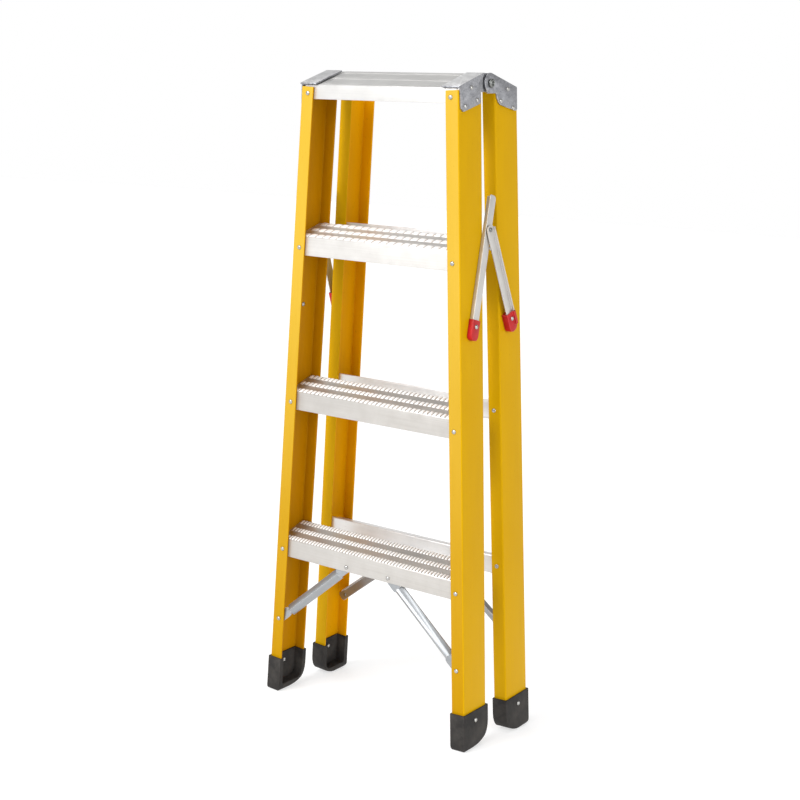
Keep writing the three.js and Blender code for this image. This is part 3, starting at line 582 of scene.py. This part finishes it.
for number, teeth in TEETH.items():
    rivet_z = number * STEP_RISE
    reach = channel_half(rivet_z + SKIRT_TOP + INNER_RISE)
    tread(f"step_{number}", reach, reach - 1, SKIRT_FRONT, SKIRT_BACK, rivet_z + SKIRT_TOP,
          rivet_z + SKIRT_BOTTOM, rivet_z + SKIRT_BOTTOM + INNER_RISE, teeth,
          TREAD if number == 3 else LOWER_TREAD)
    crossbar_z = number * CROSSBAR_RISE - CROSSBAR_DROP
    bar = bmesh.new()
    section = tread_section(SKIRT_FRONT, SKIRT_BACK, SKIRT_TOP, SKIRT_BOTTOM, SKIRT_BOTTOM + INNER_RISE)
    bar_half = channel_half(crossbar_z + SKIRT_TOP + INNER_RISE)
    prism(bar, [(RAIL_DEPTH - a, b + crossbar_z) for a, b in section], -bar_half, bar_half, along_x)
    round_edges(bar, 0.35, 2, 50)
    piece(f"crossbar_{number}_finished", bar, CROSSBAR, REAR, "rear_frame",
          (f"crossbar_{number}",), 50)

tread("platform", channel_half(RAIL_TOP), half_width(PLATFORM_FRONT) - TOP_FLANGE, SKIRT_FRONT,
      PLATFORM_BACK, PLATFORM_FRONT, PLATFORM_FRONT - PLATFORM_SKIRT,
      PLATFORM_FRONT + INNER_RISE - PLATFORM_BACK_SKIRT, PLATFORM_TEETH, PLATFORM)

# ---- braces, hinge plates and spreaders -----------------------------------------------------------
# How bright each front hinge plate's top flange is painted: a painted reflection, brighter on the right.
FLANGE_SHEEN = {"left": 0.72, "right": 0.95}
for side_name in SIDES:
    front_side = FRONT_SIDE[side_name]
    rear_side = REAR_SIDE[side_name]
    softened(f"brace_front_{side_name}", FRONT, "front_frame", BRACE, 0.45)
    softened(f"brace_rear_{side_name}", REAR, "rear_frame", BRACE, 0.45)
    softened(f"hinge_plate_front_{side_name}", front_side, "front_frame", ZINC, 0.8,
             top_sheen=FLANGE_SHEEN[side_name])
    softened(f"hinge_plate_rear_{side_name}", rear_side, "rear_frame", ZINC, 0.8)
    long_arm = f"long_arm_{side_name}"
    short_arm = f"short_arm_{side_name}"
    # The long arm's front ridge is painted near white, a painted highlight.
    softened(f"spreader_long_{side_name}", front_side, long_arm, ARM, 0.8, 3, ridge=2.4)
    softened(f"spreader_short_{side_name}", rear_side, short_arm, ARM, 0.7, 3)
    softened(f"spreader_cap_front_{side_name}", front_side, long_arm, RED, 0.9, 3)
    softened(f"spreader_cap_rear_{side_name}", rear_side, short_arm, RED, 0.9, 3)

# ---- rivets ---------------------------------------------------------------------------------------
DOME = [(0, 0), (1, 0), (1.0, 0.16), (0.95, 0.42), (0.8, 0.68), (0.58, 0.86), (0.3, 0.97), (0, 1)]
RIVET_RADIUS = 4.2
RIVET_HEIGHT = 2.4
OUTWARD = turn(math.pi / 2, "Y")
INWARD = turn(-math.pi / 2, "Y")
FORWARD = turn(math.pi / 2, "X")
BACKWARD = turn(-math.pi / 2, "X")


def rivet(name, matrix, body, seat, direction, stands_for=(), radius=RIVET_RADIUS, height=RIVET_HEIGHT,
          material=STEEL):
    bm = bmesh.new()
    lathe(bm, [(r * radius, h * height) for r, h in DOME], shift(*seat) @ direction)
    piece(name, bm, material, matrix, body, stands_for, 60)


def rivet_for(node, matrix, body, direction, material=STEEL):
    """Smooth dome in the place of a faceted one."""
    low, high = local_box(node, matrix)
    seat = (low + high) / 2
    if direction is OUTWARD:
        seat.x = low.x
    else:
        seat.y = high.y
    rivet(f"{node}_finished", matrix, body, seat, direction, (node,), material=material)


for side_name in SIDES:
    for label in ("step_1", "step_2", "step_3", "platform", "brace", "skirt"):
        rivet_for(f"rivet_{label}_{side_name}", FRONT, "front_frame", FORWARD)
    rivet_for(f"rivet_boot_front_{side_name}", FRONT_SIDE[side_name], "front_frame", OUTWARD)
    rivet_for(f"rivet_boot_rear_{side_name}", REAR_SIDE[side_name], "rear_frame", OUTWARD)
    rivet_for(f"rivet_spreader_front_{side_name}", FRONT_SIDE[side_name], f"long_arm_{side_name}", OUTWARD)
    rivet_for(f"rivet_spreader_rear_{side_name}", REAR_SIDE[side_name], f"short_arm_{side_name}", OUTWARD)
    rivet_for(f"rivet_spreader_middle_{side_name}", REAR_SIDE[side_name], f"short_arm_{side_name}", OUTWARD,
              DULL_STEEL)

PIN_PROFILE = [
    (0, -6.6), (7.6, -6.6), (8.4, -5.9), (8.5, -4.6), (8.2, -3.8), (5, -3.6), (5, 3.8), (7.2, 3.8),
    (7.7, 4.2), (7.7, 5.4), (7.3, 6.7), (6.4, 7.6), (5.4, 8.0), (4.5, 7.9), (3.9, 7.2), (3.6, 6.2),
    (3.5, 5.8), (0, 5.8),
]
# Rivets of the hinge plates, both in the front frame's y and z.
FRONT_PLATE_RIVETS = ((37.4, 1202.7), (55, 1181.6), (17.6, 1170.5))
REAR_PLATE_RIVETS = ((154.7, 1202.6), (131.4, 1181.1), (171.7, 1169.8))
for side_name in SIDES:
    pin = bmesh.new()
    place = shift(0, HINGE.y, HINGE.z / math.cos(FLARE)) @ turn(FLARE, "Y") @ OUTWARD
    lathe(pin, PIN_PROFILE, place, 40)
    piece(f"hinge_pin_{side_name}_finished", pin, DULL_STEEL, FRONT_SIDE[side_name],
          "front_frame", (f"hinge_pin_{side_name}",), 50)
    for number, (y, z) in enumerate(FRONT_PLATE_RIVETS, 1):
        rivet(f"rivet_hinge_front_{number}_{side_name}", FRONT_SIDE[side_name], "front_frame",
              (PLATE_FACE, y, z / math.cos(FLARE)), OUTWARD)
    for number, (y, z) in enumerate(REAR_PLATE_RIVETS, 1):
        inside = REAR.inverted() @ FRONT @ (Vector((0, y, z)) * MM) / MM
        rivet(f"rivet_hinge_rear_{number}_{side_name}", REAR_SIDE[side_name], "rear_frame",
              (PLATE_FACE, inside.y, inside.z / math.cos(FLARE)), OUTWARD)


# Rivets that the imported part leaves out: through the crossbars, the back of the treads and the braces.
FLANGE_INSET = 15.6  # a rivet in a flange from the rail's outer web face
FLANGE_SEAT = RAIL_WALL + GAP
CROSSBAR_RIVET = 19  # a crossbar's front rivet above the level of the tread's
BRACE_WALL = 2
FRONT_BRACE_TAIL = (190.6, 174.3)
REAR_BRACE_TAIL = (212, 147)
REAR_BRACE_UPPER = (30, 290)
REAR_BRACE_LOWER = 144
for side_name, side in SIDES.items():
    for number in (1, 2, 3):
        front_z = number * STEP_RISE + CROSSBAR_RIVET
        if side_name == "right":
            across = half_width(front_z) + REAR_SPREAD - FLANGE_INSET
            rivet(f"rivet_crossbar_front_{number}", REAR, "rear_frame", (across, 0, front_z), FORWARD)
        back_z = number * CROSSBAR_RISE - CROSSBAR_DROP
        across = side * (half_width(back_z) + REAR_SPREAD - FLANGE_INSET)
        rivet(f"rivet_crossbar_back_{number}_{side_name}", REAR, "rear_frame",
              (across, RAIL_DEPTH, back_z), BACKWARD)
        tread_z = number * STEP_RISE + INNER_RISE
        across = side * (half_width(tread_z) - FLANGE_INSET)
        rivet(f"rivet_step_back_{number}_{side_name}", FRONT, "front_frame",
              (across, RAIL_DEPTH, tread_z), BACKWARD)
    x, z = FRONT_BRACE_TAIL
    rivet(f"tail_front_brace_{side_name}", FRONT, "front_frame", (side * x, FLANGE_SEAT, z), FORWARD,
          radius=2.4, height=1.4)
    x, z = REAR_BRACE_TAIL
    rivet(f"tail_rear_brace_{side_name}", REAR, "rear_frame",
          (side * x, RAIL_DEPTH - FLANGE_SEAT - BRACE_WALL, z), FORWARD,
          radius=3.4, height=1.8, material=DULL_STEEL)
    x, z = REAR_BRACE_UPPER
    rivet(f"rivet_rear_brace_upper_{side_name}", REAR, "rear_frame",
          (side * x, RAIL_DEPTH - SKIRT_FRONT, z), BACKWARD)
    across = side * (half_width(REAR_BRACE_LOWER) + REAR_SPREAD - FLANGE_INSET)
    rivet(f"rivet_rear_brace_lower_{side_name}", REAR, "rear_frame",
          (across, RAIL_DEPTH, REAR_BRACE_LOWER), BACKWARD)

# Rivet tails inside the webs: the frame's sides, the body and where the tail sits.
TAILS = {
    "spreader_front": (FRONT_SIDE, "front_frame", (-RAIL_WALL, 35.5, 787 / math.cos(FLARE))),
    "spreader_rear": (REAR_SIDE, "rear_frame", (-RAIL_WALL, 23.5, 790 / math.cos(FLARE))),
    "boot_front": (FRONT_SIDE, "front_frame", (-7, 35, 52)),
    "boot_rear": (REAR_SIDE, "rear_frame", (-7, 39, 36.5)),
}
for label, (sides, body, seat) in TAILS.items():
    for side_name in SIDES:
        rivet(f"tail_{label}_{side_name}", sides[side_name], body, seat, INWARD, (), 4.4, 1.9)


# ---- floor, light and camera ----------------------------------------------------------------------
def floor_material():
    s = Surface("floor_pale", specular=0.1)
    s.place = s.add("ShaderNodeTexCoord").outputs["Object"]
    cloud = s.noise((3, 3, 3), 3.0)
    colour = s.mix(s.span(cloud, 0.3, 0.7, 0.0, 1.0), linear(188, 188, 188), linear(192, 192, 192))
    s.shader.inputs["Emission Color"].default_value = (1, 1, 1, 1)
    s.shader.inputs["Emission Strength"].default_value = 0.6
    return s.finish(colour, s.span(cloud, 0.3, 0.7, 0.8, 0.9), s.bump(cloud, 0.02, 0.1))


FLOOR_HALF = 60.0
floor_mesh = bpy.data.meshes.new("floor")
corners = [(x * FLOOR_HALF, y * FLOOR_HALF, 0) for x, y in ((-1, -1), (1, -1), (1, 1), (-1, 1))]
floor_mesh.from_pydata(corners, [], [(0, 1, 2, 3)])
floor_mesh.materials.append(floor_material())
floor = bpy.data.objects.new("floor", floor_mesh)
bpy.context.scene.collection.objects.link(floor)


def studio_world():
    """Bright all round at eye level, and softer overhead."""
    world = bpy.data.worlds.new("studio")
    world.use_nodes = True
    nodes = world.node_tree.nodes
    links = world.node_tree.links
    coords = nodes.new("ShaderNodeTexCoord")
    split = nodes.new("ShaderNodeSeparateXYZ")
    ramp = nodes.new("ShaderNodeValToRGB")
    links.new(coords.outputs["Generated"], split.inputs["Vector"])
    links.new(split.outputs["Z"], ramp.inputs["Fac"])
    links.new(ramp.outputs["Color"], nodes["Background"].inputs["Color"])
    stops = ((0.0, 1.0), (0.16, 1.0), (0.3, 0.5), (1.0, 0.34))
    elements = ramp.color_ramp.elements
    for k, (position, level) in enumerate(stops):
        element = elements[k] if k < 2 else elements.new(position)
        element.position = position
        element.color = (level, level, level, 1)
    bpy.context.scene.world = world


def sun(name, direction, strength, angle):
    light = bpy.data.lights.new(name, "SUN")
    light.energy = strength
    light.angle = math.radians(angle)
    made = bpy.data.objects.new(name, light)
    made.rotation_euler = Vector(direction).to_track_quat("-Z", "Y").to_euler()
    bpy.context.scene.collection.objects.link(made)


def soft_box(name, position, target, size, power):
    light = bpy.data.lights.new(name, "AREA")
    light.shape = "DISK"
    light.size = size
    light.energy = power
    made = bpy.data.objects.new(name, light)
    made.location = position
    made.rotation_euler = (Vector(target) - Vector(position)).to_track_quat("-Z", "Y").to_euler()
    bpy.context.scene.collection.objects.link(made)


studio_world()
sun("front", (0.08, 0.88, -0.44), 1.9, 40)
sun("right", (-0.97, 0.1, -0.22), 1.1, 30)
sun("top", (0.1, 0.2, -1.0), 0.7, 60)
soft_box("upper_front", (-0.5, -1.9, 2.0), (0, 0, 1.05), 0.9, 22)

LENS = 66.77
CAMERA_AT = Vector((1633.62, -2147.80, 1187.49))
AZIMUTH = math.radians(36.054)
ELEVATION = math.radians(11.627)
ROLL = math.radians(1.606)


def add_camera():
    """Camera where the photograph was taken from, in the front frame's coordinates."""
    outward = math.cos(ELEVATION)
    back = Vector((math.sin(AZIMUTH) * outward, -math.cos(AZIMUTH) * outward, math.sin(ELEVATION)))
    level = Vector((math.cos(AZIMUTH), math.sin(AZIMUTH), 0))
    up = back.cross(level)
    right = math.cos(ROLL) * level + math.sin(ROLL) * up
    top = -math.sin(ROLL) * level + math.cos(ROLL) * up
    data = bpy.data.cameras.new("camera")
    data.lens = LENS
    data.clip_end = 200
    made = bpy.data.objects.new("camera", data)
    axes = Matrix((right, top, back)).transposed().to_4x4()
    made.matrix_world = FRONT @ shift(*CAMERA_AT) @ axes
    bpy.context.scene.collection.objects.link(made)
    bpy.context.scene.camera = made


add_camera()
bpy.context.scene.view_settings.view_transform = "Standard"
